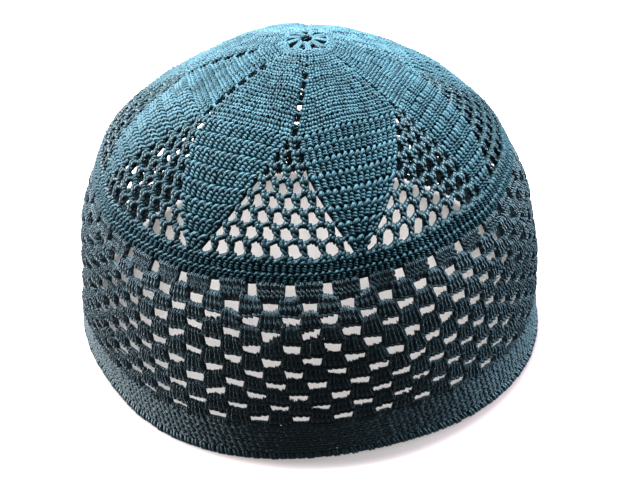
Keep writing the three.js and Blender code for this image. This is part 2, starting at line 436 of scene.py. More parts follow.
# %% The posts of a block and of a gore
BLOCK_HEIGHT = 7.0
block_post = stitch("block post", POST_WIDTH, BLOCK_HEIGHT, [
    (0.98, [(-0.6, -0.3, -1.7), (-0.74, 0.15, -0.66), (-0.58, 1.15, -0.4), (-0.3, 2.4, -0.8)]),
    (0.84, [(0.37, -0.25, -1.6), (0.34, 0.62, -0.6), (0.7, 1.95, -1.05)]),
    (0.92, [(-0.55, 2.1, -0.95), (-0.42, 3.00, -0.4), (-0.2, 4.1, -0.44), (0.1, 5.1, -0.95)]),
    (0.72, [(0.55, 2.2, -1.1), (0.65, 3.8, -0.74), (0.4, 5.4, -1.15)]),
    (0.96, [(-1.25, 6.1, -1.45), (-0.5, 6.2, -0.8), (0.4, 6.45, -0.76), (1.25, 6.85, -1.45)]),
])
# The inner strand's tone is lowered: painted shade.
block_inner = stitch(
    "block inner", POST_WIDTH, BLOCK_HEIGHT, [flat_strand(0.1, 6.6, -1.67)], deep=0.3,
)

NET_WIDTH = 3.0
NET_FLAT = 1.3  # times wider than thick, of the flat strand behind a net post
net_post = stitch("net post", NET_WIDTH, POST_HEIGHT, [
    (1.15, [(-0.66, -0.5, -1.6), (-0.8, 0.05, -0.5), (-0.66, 0.78, -0.42), (-0.25, 1.45, -0.95)]),
    (1.15, [(0.46, -0.54, -1.6), (0.36, 0.00, -0.48), (0.48, 0.75, -0.4), (0.52, 1.4, -0.9)]),
    (0.9, [(-0.72, 1.05, -1.2), (-0.48, 1.62, -0.58), (0.22, 2.5, -0.5), (0.75, 3.15, -1.1)]),
    (0.78, [(0.72, 1.05, -1.2), (0.76, 2.5, -0.96), (0.2, 4.1, -1.2)]),
    (1.00, [(0.3, 2.7, -1.35), (-0.18, 3.05, -0.62), (-0.15, 3.85, -0.52), (0.3, 4.45, -1.1)]),
])
# The inner strand's tone is lowered: painted shade.
net_inner = stitch(
    "net inner", NET_WIDTH, POST_HEIGHT, [flat_strand(-0.2, 4.4, -1.53, NET_FLAT)], deep=1.2,
)

# %% Chains
CHAIN_WIDTH, CHAIN_HEIGHT = 6.0, 1.6
NET_LOOPS = ((-2.35, 0.38), (-1.25, 0.95), (1.25, 1.1), (2.4, 0.55))  # mm across and down
net_chain = stitch("net chain", CHAIN_WIDTH, CHAIN_HEIGHT, [
    (1.45, [
        (-3.1, 0.3, -1.45), (-1.4, 1.05, -1.4), (0.0, 1.4, -1.35), (1.4, 1.05, -1.4),
        (3.1, 0.3, -1.45),
    ]),
    *[
        (1.25, [(x - 0.82, y + 0.5, -1.35), (x, y, -0.62), (x + 0.82, y - 0.42, -1.35)])
        for x, y in NET_LOOPS
    ],
])
chain = stitch("chain", CHAIN_WIDTH, CHAIN_HEIGHT, [
    (0.95, [
        (-3.1, 0.45, -1.3), (-1.9, 0.25, -0.8), (-0.5, 0.55, -0.62), (0.9, 1.05, -0.8),
        (3.1, 1.05, -1.4),
    ]),
    (0.95, [
        (-3.1, 1.05, -1.3), (-1.5, 1.2, -1.00), (0.1, 0.75, -1.3), (1.5, 0.35, -0.85),
        (3.1, 0.45, -1.1),
    ]),
])
bar = stitch("bar", CHAIN_WIDTH, CHAIN_HEIGHT, [
    (1.1, [(-3.2, 0.9, -1.3), (-1.2, 0.75, -1.25), (1.2, 0.75, -1.25), (3.2, 0.9, -1.3)]),
])

# %% The small stitches
SMALL_WIDTH, SMALL_HEIGHT = 2.1, 2.15
small_stitch = stitch("small stitch", SMALL_WIDTH, SMALL_HEIGHT, [
    (0.86, [(-0.85, 1.15, -1.00), (-0.5, 0.5, -0.56), (-0.02, 0.00, -0.95)]),
    (0.86, [(0.12, 0.05, -0.95), (0.48, 0.5, -0.54), (0.95, 1.2, -1.00)]),
    (0.86, [(-1.08, 1.85, -1.05), (-0.1, 1.45, -0.56), (1.08, 1.95, -1.1)]),
])
firm_stitch = stitch("firm stitch", SMALL_WIDTH, SMALL_HEIGHT, [
    (0.95, [(-1.05, 0.72, -1.05), (-0.45, 0.45, -0.66), (0.35, 0.45, -0.64), (0.95, 0.72, -1.05)]),
    (0.95, [(-0.35, 1.78, -1.05), (0.25, 1.52, -0.66), (1.05, 1.52, -0.64), (1.65, 1.78, -1.05)]),
])
# The inner strand's tone is lowered: painted shade.
small_inner = stitch("small inner", SMALL_WIDTH, SMALL_HEIGHT, [
    (1.05, [(-1.15, 1.1, -1.45), (1.15, 1.1, -1.45)], FLAT_SIDES, 2.1),
], deep=0.4)

# %% The turns of yarn over the rim
TURN_WIDTH, TURN_HEIGHT = 3.0, 3.4


def rim_turn(x, thick):
    """One turn of the yarn over the cord at the rim."""
    return (thick, [
        (x - 0.75, 0.5, -2.3), (x - 0.7, 0.15, -0.95), (x - 0.3, 0.85, -0.22),
        (x + 0.2, 2.00, -0.1), (x + 0.5, 2.62, -0.6), (x + 0.5, 2.7, -2.2),
    ])


edge_turn = stitch("edge turn", TURN_WIDTH, TURN_HEIGHT, [rim_turn(-0.55, 1.3), rim_turn(0.62, 1.2)])

# %% [markdown]
# ## Laying stitches round the dome
#
# A placement says where a stitch's top and foot are and how wide it is at each, so it can lean and
# fan out. Instances of one mesh would be lighter, but can't bend with the dome. So we bend all
# copies of a stitch at once with array arithmetic and join them into one mesh, with a number for
# each stitch that varies its tone at random and carries the painted shade of the inner strands.

# %% Placing and joining
jitter = np.random.default_rng(23)
JITTER_ROUND, JITTER_DOWN, JITTER_OUT = 0.10, 0.11, 0.09  # mm
JITTER_LEAN, JITTER_SIZE = 0.16, 0.06  # mm, and a share of the width


def placement(top, foot, lift=0.0):
    """top and foot are (degrees, mm from the crown, width in mm)."""
    return (*top, *foot, lift)


def even(deg, top_arc, foot_arc, width, lift=0.0):
    """A placement that goes straight down and keeps its width."""
    return placement((deg, top_arc, width), (deg, foot_arc, width), lift)


def laid(kind, places):
    """The points of all copies of one stitch, bent onto the dome."""
    p = np.array(places, float)
    x, y, rise = (kind["co"][:, i][None, :] for i in range(3))
    deg0, arc0, wide0, deg1, arc1, wide1, lift = (p[:, i][:, None] for i in range(7))
    shape = (len(p), 1)
    arc = arc0 + (arc1 - arc0) * y + jitter.normal(0, JITTER_DOWN, shape)
    size = 1 + jitter.normal(0, JITTER_SIZE, shape)
    lean = jitter.normal(0, JITTER_LEAN, shape) * (y - 0.5)
    across = x * (wide0 + (wide1 - wide0) * y) * size + lean + jitter.normal(0, JITTER_ROUND, shape)
    out = rise + lift + jitter.normal(0, JITTER_OUT, shape)
    degrees = deg0 + (deg1 - deg0) * y + np.degrees(across / np.maximum(radius_at(arc), 1))
    return dome(degrees, arc, out).reshape(-1, 3)


def knit(name, parts):
    """One mesh object from (stitch, placements) pairs."""
    co, loops, totals, uv, tone = [], [], [], [], []
    first = 0
    for kind, places in parts:
        count = len(places)
        per = len(kind["co"])
        co.append(laid(kind, places))
        step = (np.arange(count) * per)[:, None]
        loops.append((kind["loops"][None, :] + step + first).ravel())
        totals.append(np.tile(kind["totals"], count))
        uv.append(np.tile(kind["uv"], (count, 1)))
        # A random tone, lowered by the stitch's painted shade.
        tones = jitter.uniform(0, 1, count) - kind["deep"]
        tone.append(np.repeat(tones, len(kind["totals"])))
        first += count * per
    co, loops, totals, uv, tone = (np.concatenate(a) for a in (co, loops, totals, uv, tone))
    mesh = bpy.data.meshes.new(name)
    mesh.vertices.add(len(co))
    mesh.vertices.foreach_set("co", co.astype(np.float32).ravel())
    mesh.loops.add(len(loops))
    mesh.loops.foreach_set("vertex_index", loops.astype(np.int32))
    mesh.polygons.add(len(totals))
    starts = np.concatenate(([0], np.cumsum(totals)[:-1]))
    mesh.polygons.foreach_set("loop_start", starts.astype(np.int32))
    mesh.update(calc_edges=True)
    mesh.uv_layers.new(name="yarn").data.foreach_set("uv", uv.astype(np.float32).ravel())
    tones = mesh.attributes.new("tone", "FLOAT", "FACE")
    tones.data.foreach_set("value", tone.astype(np.float32))
    mesh.shade_smooth()
    mesh.validate()
    print(name, "triangles", int((totals - 2).sum()))
    return placed(name, mesh)


# %% [markdown]
# ## How the rounds are counted
#
# The rounds were measured on the photograph, in millimetres along the surface. Each round of the
# crown is a little taller than the one before: with even ones, the grooves would fall beside those
# of the real cap. Each has an eyelet on every seam, and on some seams they are pulled nearly shut.

# %% The rounds of the crown
SMALL_ROUND = 8.6  # the small round that closes the rosette
CROWN_START = 11.0
CROWN_ROUNDS = 8  # rounds with one eyelet on each seam
FIRST_ROUND, TALLER = 3.75, 0.179  # mm of the first, and what each next one gains
GORE_START = 46.0
GORE_ROUNDS = 8  # rounds with two to nine holes on each seam
GORE_END = 87.3
BAND_END = 93.9
LACE_END = 148.2
LOWER_END = 161.2
NET_CELL = 4.78  # degrees from hole to hole in the gores
STITCH = 2.15  # mm, width of a stitch in the dense parts
EYELETS = (0.5, 0.7, 2.1, 2.2, 2.3, 2.2, 2.3, 2.1)  # mm, widths of the eyelets of each round
OPENED = (1.0, 0.45, 0.1, 0.6, 0.8, 0.8, 0.8, 1.0)  # share of that on each seam
PETAL_EDGE = (0.62, 0.12)  # share of a hole that a petal's edge covers, at its top and foot


def degrees_for(width, arc):
    """Degrees that a width in mm takes up at a length from the crown."""
    return math.degrees(width / float(radius_at(arc)))


def fill(start, end, arc0, arc1):
    """Stitches side by side from start to end, each a function of the length from the crown."""
    middle = (arc0 + arc1) / 2
    span = math.radians(end(middle) - start(middle)) * float(radius_at(middle))
    count = max(1, round(span / STITCH))
    places = []
    for i in range(count):
        share = (i + 0.5) / count
        ends = []
        for arc in (arc0, arc1):
            a, b = start(arc), end(arc)
            width = math.radians(b - a) * float(radius_at(arc)) / count
            ends.append((a + (b - a) * share, arc, width))
        places.append(placement(*ends))
    return places


# %% The dense rounds of the crown, with an eyelet on each seam
PINHOLE, FULL = 0.78, 1.02  # width of an inner stitch over that of its post
# The chain under an eyelet: mm up and down from the round's foot, past the eyelet, and outwards
UNDER_UP, UNDER_DOWN, UNDER_PAST, UNDER_OUT = 1.3, 0.1, 1.6, -0.15


def backed(places, gaps=0.0, sink=0.0):
    """The places for the inner side of a row of stitches; a share of them leave a pinhole."""
    backs = []
    for deg0, arc0, wide0, deg1, arc1, wide1, lift in places:
        narrow = PINHOLE if jitter.random() < gaps else FULL
        backs.append((deg0, arc0, wide0 * narrow, deg1, arc1, wide1 * narrow, lift - sink))
    return backs


def even_rounds(start, end, count):
    """The top and foot of each of some rounds of one height."""
    edges = [start + (end - start) * n / count for n in range(count + 1)]
    return zip(edges, edges[1:])


crown_posts, crown_chains = [], []
arc0 = CROWN_START
for i in range(CROWN_ROUNDS):
    arc1 = arc0 + FIRST_ROUND + TALLER * i
    for k in range(GORES):
        gap, next_gap = EYELETS[i] * OPENED[k], EYELETS[i] * OPENED[(k + 1) % GORES]
        crown_posts += fill(
            lambda arc: seam(k, arc) + degrees_for(gap / 2, arc),
            lambda arc: seam(k + 1, arc) - degrees_for(next_gap / 2, arc),
            arc0, arc1,
        )
        under = (arc1 - UNDER_UP, arc1 + UNDER_DOWN, gap + UNDER_PAST, UNDER_OUT)
        crown_chains.append(even(seam(k, arc1), *under))
    arc0 = arc1
crown_rounds = knit(
    "crown_rounds", [(low_post, crown_posts), (inner, backed(crown_posts)), (chain, crown_chains)]
)

# %% [markdown]
# ## Petals and gores
#
# After eight rounds each seam opens into a gore: two holes, then three, up to nine. A single post
# stands between two holes, and a chain spans each hole. Between two gores a petal of dense stitches
# narrows to its tip. Holes cut out of a dense crown would leave cut yarn, so we only lay what is there.

# %% Petals and gores
NET_SPREAD = 3.85  # mm, width at which a net post is laid
# Two gores on the right have wider posts in their upper rounds, and so smaller holes
CLOSER_GORES, CLOSER_ROUNDS, CLOSER = (1, 2), 4, 1.36
# The chain under a hole: mm up and down from the round's foot, and its width over the step
NET_UP, NET_DOWN, NET_WIDER = 1.70, 0.35, 1.04
PETAL_GAPS, PETAL_SINK = 0.02, 0.35  # share of pinholes, and mm that the inner side lies deeper


def gore_edge(k, side, holes, arc0, arc1):
    """The left or right side of gore k in a round, as degrees at a length from the crown."""
    def degrees(arc):
        share = (arc - arc0) / (arc1 - arc0)
        cover = PETAL_EDGE[0] + (PETAL_EDGE[1] - PETAL_EDGE[0]) * share
        return seam(k, arc) + side * (holes / 2 - cover) * NET_CELL
    return degrees


petal_posts = []
net_posts = [[] for _ in range(GORES)]
net_chains = [[] for _ in range(GORES)]
for j, (arc0, arc1) in enumerate(even_rounds(GORE_START, GORE_END, GORE_ROUNDS)):
    holes = j + 2
    step = math.radians(NET_CELL) * float(radius_at(arc1))
    for k in range(GORES):
        left = gore_edge(k, 1, holes, arc0, arc1)
        right = gore_edge(k + 1, -1, holes, arc0, arc1)
        petal_posts += fill(left, right, arc0, arc1)
        spread = NET_SPREAD * (CLOSER if k in CLOSER_GORES and j < CLOSER_ROUNDS else 1)
        for i in range(holes - 1):
            aside = (i - (holes - 2) / 2) * NET_CELL
            top, foot = (seam(k, arc0) + aside, arc0, spread), (seam(k, arc1) + aside, arc1, spread)
            net_posts[k].append(placement(top, foot))
        for i in range(holes):
            deg = seam(k, arc1) + (i - (holes - 1) / 2) * NET_CELL
            net_chains[k].append(even(deg, arc1 - NET_UP, arc1 + NET_DOWN, step * NET_WIDER))
petals = knit("petals", [(post, petal_posts), (inner, backed(petal_posts, PETAL_GAPS, PETAL_SINK))])
gores = [
    knit(f"gore_{k + 1}", [
        (net_post, net_posts[k]), (net_inner, net_posts[k]), (net_chain, net_chains[k]),
    ])
    for k in range(GORES)
]

# %% [markdown]
# ## The plain band
#
# Two rounds without a hole gather the petals and gores: the same tall stitch, laid all the way
# round, which reaches a little into its neighbours so that no light comes between.

# %% The plain band under the petals
BAND_MIDDLE, BAND_OVERLAP, BAND_GAPS = 90.7, 0.2, 0.04
band_edges = (GORE_END - BAND_OVERLAP, BAND_MIDDLE, BAND_END + BAND_OVERLAP)
band_posts = []
for arc0, arc1 in zip(band_edges, band_edges[1:]):
    band_posts += fill(lambda arc: 0.0, lambda arc: 360.0, arc0, arc1)
band = knit("band", [(post, band_posts), (inner, backed(band_posts, BAND_GAPS))])

# %% [markdown]
# ## The block lace
#
# Eleven rounds have forty blocks each, and every other round is shifted by half a step. A block is
# five posts, six in the first round, which reach up over the chain of the hole above. Between two
# blocks a chain spans the hole. A block repeated by an array would look printed: here each is a
# little off in width, height and tilt, and on the slack left side all are narrower and shorter.

# %% The block lace
BLOCKS = 40
BLOCK_STEP = 360 / BLOCKS
FIRST_BLOCK = 0.2  # degrees from the front
DRIFT, DRIFT_AFTER = 0.2, 5  # degrees that each round after the sixth is shifted besides
HANG_DOWN = 0.3  # mm that the foot of a block hangs below its round
LOOSE = 0.9  # mm by which blocks are narrower and shorter on the slack left side
SLACK = (0.25, 0.8)  # shares of the way to the left where that comes in
UNEVEN, TILT = 0.24, 0.40  # mm by which the blocks, the tops of their posts and their ends vary
# mm that a block's top falls off at its ends, and height of a chain; in the first round and the rest
ARCH, CHAIN_DEPTH = (0.15, -0.1), (2.2, 1.6)
CHAIN_PAST, CHAIN_OUT = 2.2, -0.4  # mm that a chain is wider than its hole, and mm outwards
FIRST_GAPS = 0.05  # share of pinholes in the first round
LACE_ROUNDS, FIRST_LACE, SECOND_LACE = 11, 5.7, 5.25  # number, and mm of the first two
EVEN_LACE = (LACE_END - BAND_END - FIRST_LACE - SECOND_LACE) / (LACE_ROUNDS - 2)
LACE_HEIGHTS = [FIRST_LACE, SECOND_LACE] + [EVEN_LACE] * (LACE_ROUNDS - 2)
FIRST_POSTS, BLOCK_POSTS = 6, 5          # posts in a block, in the first round and the rest
# Columns in mm: width of the hole at its top and foot, and how far posts reach over the chain above
LACE_ROWS = [
    (3.3, 4.0, 0.25), (5.8, 4.2, 1.3), (7.0, 4.2, 1.4), (7.3, 4.2, 1.7), (7.4, 4.3, 1.5),
    (7.5, 4.4, 1.5), (7.8, 4.6, 1.5), (8.0, 4.8, 1.5), (8.0, 4.8, 1.6), (8.0, 4.8, 1.8),
    (7.8, 4.8, 2.0),
]

lace_rounds = []
arc0 = BAND_END
for n, (hole_top, hole_foot, reach) in enumerate(LACE_ROWS):
    arc1 = arc0 + LACE_HEIGHTS[n]
    posts = BLOCK_POSTS if n else FIRST_POSTS
    first = FIRST_BLOCK + DRIFT * max(0, n - DRIFT_AFTER) + (BLOCK_STEP / 2 if n % 2 else 0)
    arch, depth = ARCH[min(n, 1)], CHAIN_DEPTH[min(n, 1)]
    step0 = math.radians(BLOCK_STEP) * float(radius_at(arc0))
    step1 = math.radians(BLOCK_STEP) * float(radius_at(arc1))
    block_posts, hole_chains = [], []
    for b in range(BLOCKS):
        middle = first + b * BLOCK_STEP
        leftwards = -math.sin(math.radians(middle))
        loose = float(smooth(leftwards, *SLACK)) if n else 0.0
        ease = jitter.normal(0, UNEVEN, 3)
        tilt = jitter.normal(0, TILT, 2) if n else (0, 0)
        wide0 = step0 - hole_top - LOOSE * loose + ease[0]
        wide1 = step1 - hole_foot - LOOSE * loose + ease[1]
        for i in range(posts):
            share = (i + 0.5) / posts - 0.5
            end = 2 * share
            top_arc = arc0 - reach + LOOSE * loose + arch * end ** 2 + ease[2] + tilt[0] * end
            top_arc += jitter.normal(0, UNEVEN) if n else 0
            foot_arc = arc1 + HANG_DOWN + tilt[1] * end
            top = (middle + degrees_for(share * wide0, arc0), top_arc, wide0 / posts)
            foot = (middle + degrees_for(share * wide1, arc1), foot_arc, wide1 / posts)
            block_posts.append(placement(top, foot))
        foot_arc = arc1 + HANG_DOWN
        span = (foot_arc - depth, foot_arc, hole_foot + CHAIN_PAST, CHAIN_OUT)
        hole_chains.append(even(middle + BLOCK_STEP / 2, *span))
    lace_rounds.append((block_posts, hole_chains))
    arc0 = arc1
last_first, last_hole = first, hole_foot  # of the last round: its first block and its holes

LACE_PIECES = {"lace_upper": (0, 4), "lace_middle": (4, 8), "lace_lower": (8, 11)}
lace = []
for name, (a, b) in LACE_PIECES.items():
    parts = []
    for n in range(a, b):
        posts, chains = lace_rounds[n]
        outer, closing, gaps = (block_post, block_inner, 0) if n else (tall_post, inner, FIRST_GAPS)
        parts += [(outer, posts), (closing, backed(posts, gaps)), (bar, chains)]
    lace.append(knit(name, parts))

# %% [markdown]
# ## The lower band and the rim
#
# Five rounds of firm stitches close the edge, each shifted by about a quarter of a stitch. In the
# holes of the last lace round, stitches reach up over its chain. The rim is worked backwards, which
# twists each stitch over the edge like a cord. A round cord carries those turns. A bevelled curve
# would do, but a circle spun about the cap's axis gives clean quads to bend along the rim's waves.

# %% The lower band
FIRM_ROUNDS, FIRM_AROUND = 5, 266
FIRM_SHIFT = 0.28  # share of a stitch that each round is shifted by
HOLE_STITCHES = 4  # stitches that reach up over the last chain, in each of its holes
# mm from the crown of their top and foot, mm lower at a hole's ends, outwards and past the hole
REACH_TOP, REACH_FOOT, REACH_ARCH = LACE_END - 2.5, LACE_END + 0.4, 0.5
REACH_OUT, REACH_PAST = 0.1, 1.6
firm_places = []
for n, (arc0, arc1) in enumerate(even_rounds(LACE_END, LOWER_END, FIRM_ROUNDS)):
    width = 2 * math.pi * float(radius_at(arc0)) / FIRM_AROUND
    for i in range(FIRM_AROUND):
        firm_places.append(even((i + FIRM_SHIFT * n) * 360 / FIRM_AROUND, arc0, arc1, width))
reaching = []
span = last_hole + REACH_PAST
for b in range(BLOCKS):
    middle = last_first + (b + 0.5) * BLOCK_STEP
    for i in range(HOLE_STITCHES):
        share = (i + 0.5) / HOLE_STITCHES - 0.5
        deg = middle + degrees_for(share * span, LACE_END)
        top_arc = REACH_TOP + REACH_ARCH * (2 * share) ** 2
        reaching.append(even(deg, top_arc, REACH_FOOT, span / HOLE_STITCHES, REACH_OUT))
lower_band = knit(
    "lower_band_stitches",
    [(firm_stitch, firm_places), (small_inner, backed(firm_places)),
     (small_stitch, reaching), (small_inner, backed(reaching))],
)

# %% The rim
EDGE_TURNS = 190
EDGE_TOP = RIM_ARC - TURN_HEIGHT
turn_width = 2 * math.pi * RIM_RADIUS / EDGE_TURNS
turn_places = [even(i * 360 / EDGE_TURNS, EDGE_TOP, RIM_ARC, turn_width) for i in range(EDGE_TURNS)]
edging = knit("rim_turns", [(edge_turn, turn_places)])

CORD_ARC, CORD_OUT, CORD_THICK = EDGE_TOP + 1.85, -1.15, 2.3  # mm
CORD_SIDES, CORD_AROUND = 8, 180
SAME_PLACE = 1e-6  # m, points nearer than this are one


def cord_middle(degrees):
    """A point of the cord's middle line."""
    return Vector(dome(np.array(degrees), np.array(CORD_ARC), np.array(CORD_OUT)))


def spun_cord(name):
    """The closed cord, spun about the cap's axis from a small circle and bent to the rim."""
    bm = bmesh.new()
    circle = bmesh.ops.create_circle(bm, segments=CORD_SIDES, radius=CORD_THICK / 2 * MM)["verts"]
    middle = cord_middle(90.0)
    middle.y = 0
    place = Matrix.Translation(middle) @ Matrix.Rotation(math.pi / 2, 4, "X")
    bmesh.ops.transform(bm, matrix=place, verts=circle)
    edges = list({e for v in circle for e in v.link_edges})
    bmesh.ops.spin(
        bm, geom=circle + edges, cent=(0, 0, 0), axis=(0, 0, 1), angle=2 * math.pi,
        steps=CORD_AROUND, use_merge=True, use_duplicate=False,
    )
    bmesh.ops.remove_doubles(bm, verts=bm.verts, dist=SAME_PLACE)
    for v in bm.verts:
        turn = math.atan2(v.co.x, -v.co.y)
        spun = Vector((middle.x * math.sin(turn), -middle.x * math.cos(turn), middle.z))
        v.co += cord_middle(math.degrees(turn)) - spun
    bmesh.ops.recalc_face_normals(bm, faces=bm.faces)
    mesh = bpy.data.meshes.new(name)
    bm.to_mesh(mesh)
    bm.free()
    mesh.shade_smooth()
    print(name, "faces", len(mesh.polygons))
    return placed(name, mesh)


rim_cord = spun_cord("rim_cord")

# %% [markdown]
# ## The rosette
#
# The crown starts from a ring of chain round a small eye. Nine posts of three strands stand on it,
# a chain joins their feet, and one small round closes it. A plain ring with holes would be simpler,
# but one looks there first.

# %% The rosette
ROSETTE_POSTS, ROSETTE_SMALL = 9, 27  # posts round the eye, and stitches in the small round
EYE_LONGER = 0.5  # mm that the eye is longer to the front and back than to the sides
EYE_RADIUS = 2.4  # mm, inside of the ring round the eye
FIRST_POST, POST_LEAN = 2, 3  # degrees from the front, and degrees that a foot stands aside
POST_WIDE, POST_WIDE_FOOT = 1.9, 2.6  # mm
# mm from the crown: tops and feet of the posts, the ring, the chain at their feet and the small round
POSTS_TOP, POSTS_FOOT = EYE_RADIUS + 0.9, SMALL_ROUND - 0.2
RING_TOP, RING_MIDDLE, RING_DEPTH = EYE_RADIUS - 0.1, EYE_RADIUS + 0.7, 2.0
JOIN_TOP, JOIN_FOOT = SMALL_ROUND - 0.9, SMALL_ROUND + 0.7
SMALL_TOP, SMALL_FOOT = SMALL_ROUND + 0.3, CROWN_START + 0.1
RING_WIDER, JOIN_WIDER, RING_OUT = 1.5, 1.25, -0.45  # widths over the step, and mm outwards
eye_post = stitch("eye post", 2.0, 6.0, [
    (0.85, [(-0.6, -0.3, -1.5), (-0.62, 0.2, -1.00), (-0.56, 3.0, -0.92), (-0.75, 6.1, -0.95)]),
    (0.85, [(-0.02, -0.3, -1.5), (-0.05, 0.2, -0.92), (0.04, 3.0, -0.8), (0.00, 6.1, -0.9)]),
    (0.85, [(0.58, -0.3, -1.5), (0.56, 0.2, -1.00), (0.6, 3.0, -0.94), (0.75, 6.1, -0.95)]),
    (0.85, [(-0.95, 5.7, -1.2), (-0.4, 5.2, -0.6), (0.4, 5.4, -0.55), (1.0, 6.2, -1.0)]),
])
eye_posts, eye_ring, eye_chain, eye_small = [], [], [], []
ring_width = math.radians(360 / ROSETTE_POSTS) * RING_MIDDLE * RING_WIDER
for i in range(ROSETTE_POSTS):
    deg = i * 360 / ROSETTE_POSTS + FIRST_POST
    longer = EYE_LONGER * math.cos(math.radians(deg)) ** 2
    foot = (deg + POST_LEAN, POSTS_FOOT, POST_WIDE_FOOT)
    eye_posts.append(placement((deg, POSTS_TOP + longer, POST_WIDE), foot))
    ring_arc = RING_TOP + longer
    eye_ring.append(even(deg, ring_arc, ring_arc + RING_DEPTH, ring_width, RING_OUT))
join_width = math.radians(180 / ROSETTE_POSTS) * SMALL_ROUND * JOIN_WIDER
for i in range(2 * ROSETTE_POSTS):
    eye_chain.append(even((i + 0.5) * 180 / ROSETTE_POSTS, JOIN_TOP, JOIN_FOOT, join_width))
small_step = math.radians(360 / ROSETTE_SMALL)
for i in range(ROSETTE_SMALL):
    deg = i * 360 / ROSETTE_SMALL
    ends = [(deg, arc, small_step * arc) for arc in (SMALL_TOP, SMALL_FOOT)]
    eye_small.append(placement(*ends))
rosette = knit(
    "rosette",
    [(eye_post, eye_posts), (chain, eye_chain), (chain, eye_ring),
     (small_stitch, eye_small), (small_inner, backed(eye_small))],
)

# %% [markdown]
# ## The yarn's finish
#
# Mercerised cotton is smooth and a little shiny. The real yarn has one dark teal. Here it has four
# tones and grows lighter with height, to reach the brightness of the photograph: the four tones are
# lit and shaded copies of that teal, a painted light and shade for each part, and the rise with
# height is a painted light, darker lower down. Fine plies twist round it. An image could show them,
# but the UV map makes them without one: it runs along each strand in millimetres and once round it.
# A small class lets a material's maths read as Python.

# %% Shader maths as Python
class Socket:
    """A value in a node tree, with the operators that this scene uses."""

    def __init__(self, tree, link):
        self.tree, self.link = tree, link

    def make(self, kind, inputs=(), settings=(), output=0):
        """A node of a type, its settings first, then the values or links of its sockets."""
        node = self.tree.nodes.new("ShaderNode" + kind)
        for name, value in dict(settings).items():
            setattr(node, name, value)
        for key, value in dict(inputs).items():
            if isinstance(value, Socket):
                self.tree.links.new(value.link, node.inputs[key])
            else:
                node.inputs[key].default_value = value
        return Socket(self.tree, node.outputs[output])

    def math(self, operation, *values):
        return self.make("Math", enumerate(values), {"operation": operation})

    def __add__(self, other):
        return self.math("ADD", self, other)

    def __sub__(self, other):
        return self.math("SUBTRACT", self, other)

    def __mul__(self, other):
        return self.math("MULTIPLY", self, other)

    def stepped(self, start, end, before, after):
        """A value that goes from before to after while this one goes from start to end."""
        edges = {"From Min": start, "From Max": end, "To Min": before, "To Max": after}
        return self.make("MapRange", {"Value": self, **edges})

    def mix(self, low, high):
        """A colour between low and high, by this value."""
        inputs = {"Factor": self, "A": low, "B": high}
        return self.make("Mix", inputs, {"data_type": "RGBA"}, 2)


# Painted light: the yarn's tone is lighter higher up and darker lower down, for the light from above.
PAINTED_LIGHT_HEIGHTS = (0.064, 0.104)  # m above the rim between which the yarn's tone grows lighter
PATCH_SCALE, FIBRE_SCALE, DETAIL = 70.0, 2600.0, 2.0  # of the noise: cells in a metre, and octaves
PLY_ALONG, PLY_AROUND = 5.2, 4 * math.pi  # radians of the plies' wave in a mm and in a turn
TONE, PATCH, FIBRE, PLY = 0.5, 0.45, 0.25, 0.12  # shares in the shade


def yarn(name, dark, light, shine, fuzz, rough, low, high):
    """Twisted cotton between two tones; low and high say how much of the lighter one shows at the rim
    and at the crown: a painted light that grows with height."""
    material = bpy.data.materials.new(name)
    material.use_nodes = True
    tree = material.node_tree
    tree.nodes.clear()
    any_value = Socket(tree, None)
    tone = any_value.make("Attribute", settings={"attribute_name": "tone"}, output=2)
    uv = any_value.make("UVMap", settings={"uv_map": "yarn"})
    along = any_value.make("SeparateXYZ", {"Vector": uv})
    around = Socket(tree, along.link.node.outputs[1])
    place = any_value.make("TexCoord", output=3)
    noise = {"Vector": place, "Detail": DETAIL}
    patch = any_value.make("TexNoise", {**noise, "Scale": PATCH_SCALE})
    fibre = any_value.make("TexNoise", {**noise, "Scale": FIBRE_SCALE})
    ply = along.math("SINE", along * PLY_ALONG + around * PLY_AROUND)
    shade = tone * TONE + patch * PATCH + fibre * FIBRE + ply * PLY - PLY
    up = any_value.make("SeparateXYZ", {"Vector": place}, output=2)
    # Painted light: the tone grows lighter with height, from low at the rim to high at the crown.
    painted_light = up.stepped(*PAINTED_LIGHT_HEIGHTS, low, high)
    colour = (shade * painted_light).mix((*dark, 1), (*light, 1))
    raised = {"Height": ply * 0.5 + fibre * 0.5, "Strength": 0.35, "Distance": 0.0002}
    surface = any_value.make("BsdfPrincipled", {
        "Base Color": colour,
        "Roughness": fibre * 0.2 + rough,
        "Normal": any_value.make("Bump", raised),
        "Specular IOR Level": shine,
        "Specular Tint": (0.68, 0.90, 1.0, 1),
        "Sheen Weight": fuzz,
        "Sheen Roughness": 0.45,
        "Sheen Tint": (0.72, 0.90, 1.0, 1),
    })
    output = tree.nodes.new("ShaderNodeOutputMaterial")
    tree.links.new(surface.link, output.inputs["Surface"])
    return material


# Painted light and shade: the one teal yarn in four tones, the crown lightest and the net darkest, each
# set to how light falls on its part.
DARK_TEAL, LIGHT_TEAL = (0.009, 0.038, 0.054), (0.068, 0.176, 0.228)
DARK_NET, LIGHT_NET = (0.003, 0.015, 0.022), (0.016, 0.062, 0.084)
DARK_SIDE, LIGHT_SIDE = (0.015, 0.036, 0.049), (0.046, 0.104, 0.138)
DARK_RIM, LIGHT_RIM = (0.011, 0.030, 0.041), (0.030, 0.080, 0.102)
crown_yarn = yarn("crown_yarn", DARK_TEAL, LIGHT_TEAL, 0.34, 0.0, 0.48, 0.05, 1.04)
gore_yarn = yarn("gore_yarn", DARK_NET, LIGHT_NET, 0.36, 0.0, 0.30, 0.25, 0.85)
side_yarn = yarn("side_yarn", DARK_SIDE, LIGHT_SIDE, 0.32, 0.40, 0.46, 0.22, 1.0)
edging_yarn = yarn("edging_yarn", DARK_RIM, LIGHT_RIM, 0.45, 0.20, 0.36, 1.0, 1.0)
